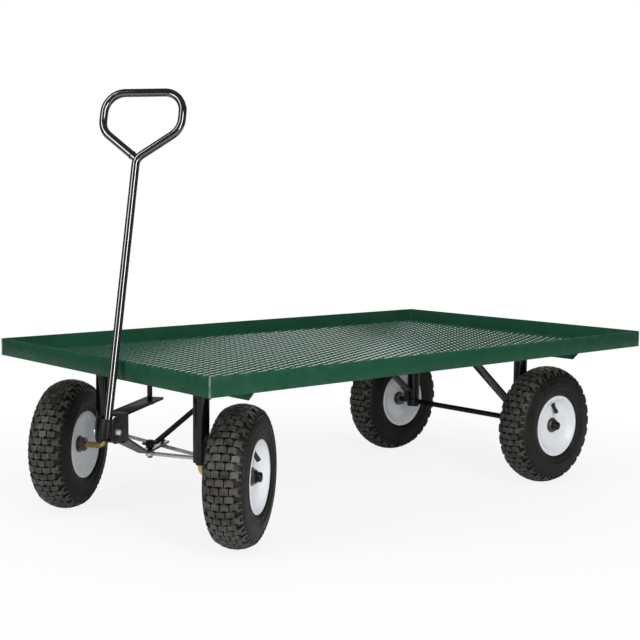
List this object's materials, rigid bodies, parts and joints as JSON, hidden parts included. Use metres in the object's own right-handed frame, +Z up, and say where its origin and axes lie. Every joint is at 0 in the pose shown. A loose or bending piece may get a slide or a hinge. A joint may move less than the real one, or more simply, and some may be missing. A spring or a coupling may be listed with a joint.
{
  "type": "flatbed garden wagon",
  "caption": "Flatbed garden wagon: shallow angle-iron tray with mesh floor, linked front-wheel steering, D-grip pull handle and pneumatic tyres.",
  "frame": {"origin": "on the floor under the centre of the tray", "axes": "+X forward, +Y to the wagon's left, +Z up; the steering is stored on its left lock"},
  "size_m": [1.6055, 0.9144, 1.0497],
  "materials": {
    "green_paint": "gloss green enamel on angle iron",
    "mesh_green": "green enamel on expanded steel mesh, worn pale on the strands",
    "black_paint": "gloss black powder coat",
    "zinc": "bright zinc plate",
    "yellow_zinc": "yellow chromate zinc plate",
    "tyre_rubber": "black rubber",
    "white_enamel": "white baked enamel",
    "hub_steel": "dark plated steel"
  },
  "bodies": {
    "frame": {"rail_front": "green_paint", "rail_rear": "green_paint", "rail_left": "green_paint", "rail_right": "green_paint", "deck_mesh": "mesh_green", "deck_strap_front": "black_paint", "deck_strap_rear": "black_paint", "cross_member_front": "green_paint", "cross_member_rear": "green_paint", "leg_front_left": "black_paint", "leg_front_right": "black_paint", "leg_rear_left": "black_paint", "leg_rear_right": "black_paint", "brace_rear_left": "black_paint", "brace_rear_right": "black_paint", "leg_tie_left": "zinc", "leg_tie_right": "zinc", "upper_pivot_rod": "black_paint", "lower_pivot_bolt": "zinc", "brace_front": "black_paint", "rear_axle": "black_paint"},
    "tongue": {"tongue_bar": "black_paint", "tongue_head": "black_paint", "tongue_plate": "black_paint", "handle_bolt": "zinc"},
    "handle": {"handle_yoke": "black_paint", "handle_tube": "black_paint"},
    "tie_rod": {"tie_rod": "zinc"},
    "knuckle_left": {"spindle_left": "yellow_zinc", "steering_arm_left": "black_paint"},
    "wheel_front_left": {"tyre_front_left": "tyre_rubber", "rim_front_left": "white_enamel", "hub_front_left": "hub_steel"},
    "wheel_rear_left": {"tyre_rear_left": "tyre_rubber", "rim_rear_left": "white_enamel", "hub_rear_left": "hub_steel"},
    "knuckle_right": {"spindle_right": "yellow_zinc", "steering_arm_right": "black_paint"},
    "wheel_front_right": {"tyre_front_right": "tyre_rubber", "rim_front_right": "white_enamel", "hub_front_right": "hub_steel"},
    "wheel_rear_right": {"tyre_rear_right": "tyre_rubber", "rim_rear_right": "white_enamel", "hub_rear_right": "hub_steel"}
  },
  "joints": [
    {"name": "steering", "type": "hinge", "parent": "frame", "child": "tongue", "pos_m": [0.606, 0, 0.25], "axis": [0, 0, 1], "range_deg": [-71, 0]},
    {"name": "handle_swing", "type": "hinge", "parent": "tongue", "child": "handle", "pos_m": [0.81604, 0.14982, 0.278], "axis": [-0.5807, 0.8141, 0], "range_deg": [0, 120]},
    {"name": "tie_rod_swing", "type": "hinge", "parent": "tongue", "child": "tie_rod", "pos_m": [0.53599, -0.04994, 0.19], "axis": [0, 0, 1], "range_deg": [0, 71]},
    {"name": "knuckle_left_steer", "type": "hinge", "parent": "frame", "child": "knuckle_left", "pos_m": [0.606, 0.212, 0.25], "axis": [0, 0, 1], "range_deg": [-71, 0]},
    {"name": "wheel_front_left_spin", "type": "hinge", "parent": "knuckle_left", "child": "wheel_front_left", "pos_m": [0.55083, 0.28934, 0.1651], "axis": [-0.5807, 0.8141, 0], "continuous": true},
    {"name": "wheel_rear_left_spin", "type": "hinge", "parent": "frame", "child": "wheel_rear_left", "pos_m": [-0.53, 0.307, 0.1651], "axis": [0, 1, 0], "continuous": true},
    {"name": "knuckle_right_steer", "type": "hinge", "parent": "frame", "child": "knuckle_right", "pos_m": [0.606, -0.212, 0.25], "axis": [0, 0, 1], "range_deg": [-71, 0]},
    {"name": "wheel_front_right_spin", "type": "hinge", "parent": "knuckle_right", "child": "wheel_front_right", "pos_m": [0.66117, -0.28934, 0.1651], "axis": [-0.5807, 0.8141, 0], "continuous": true},
    {"name": "wheel_rear_right_spin", "type": "hinge", "parent": "frame", "child": "wheel_rear_right", "pos_m": [-0.53, -0.307, 0.1651], "axis": [0, 1, 0], "continuous": true}
  ],
  "couplings": [
    {"joint": "tie_rod_swing", "follows": "steering", "ratio": -1},
    {"joint": "knuckle_left_steer", "follows": "steering", "ratio": 1},
    {"joint": "knuckle_right_steer", "follows": "steering", "ratio": 1}
  ]
}
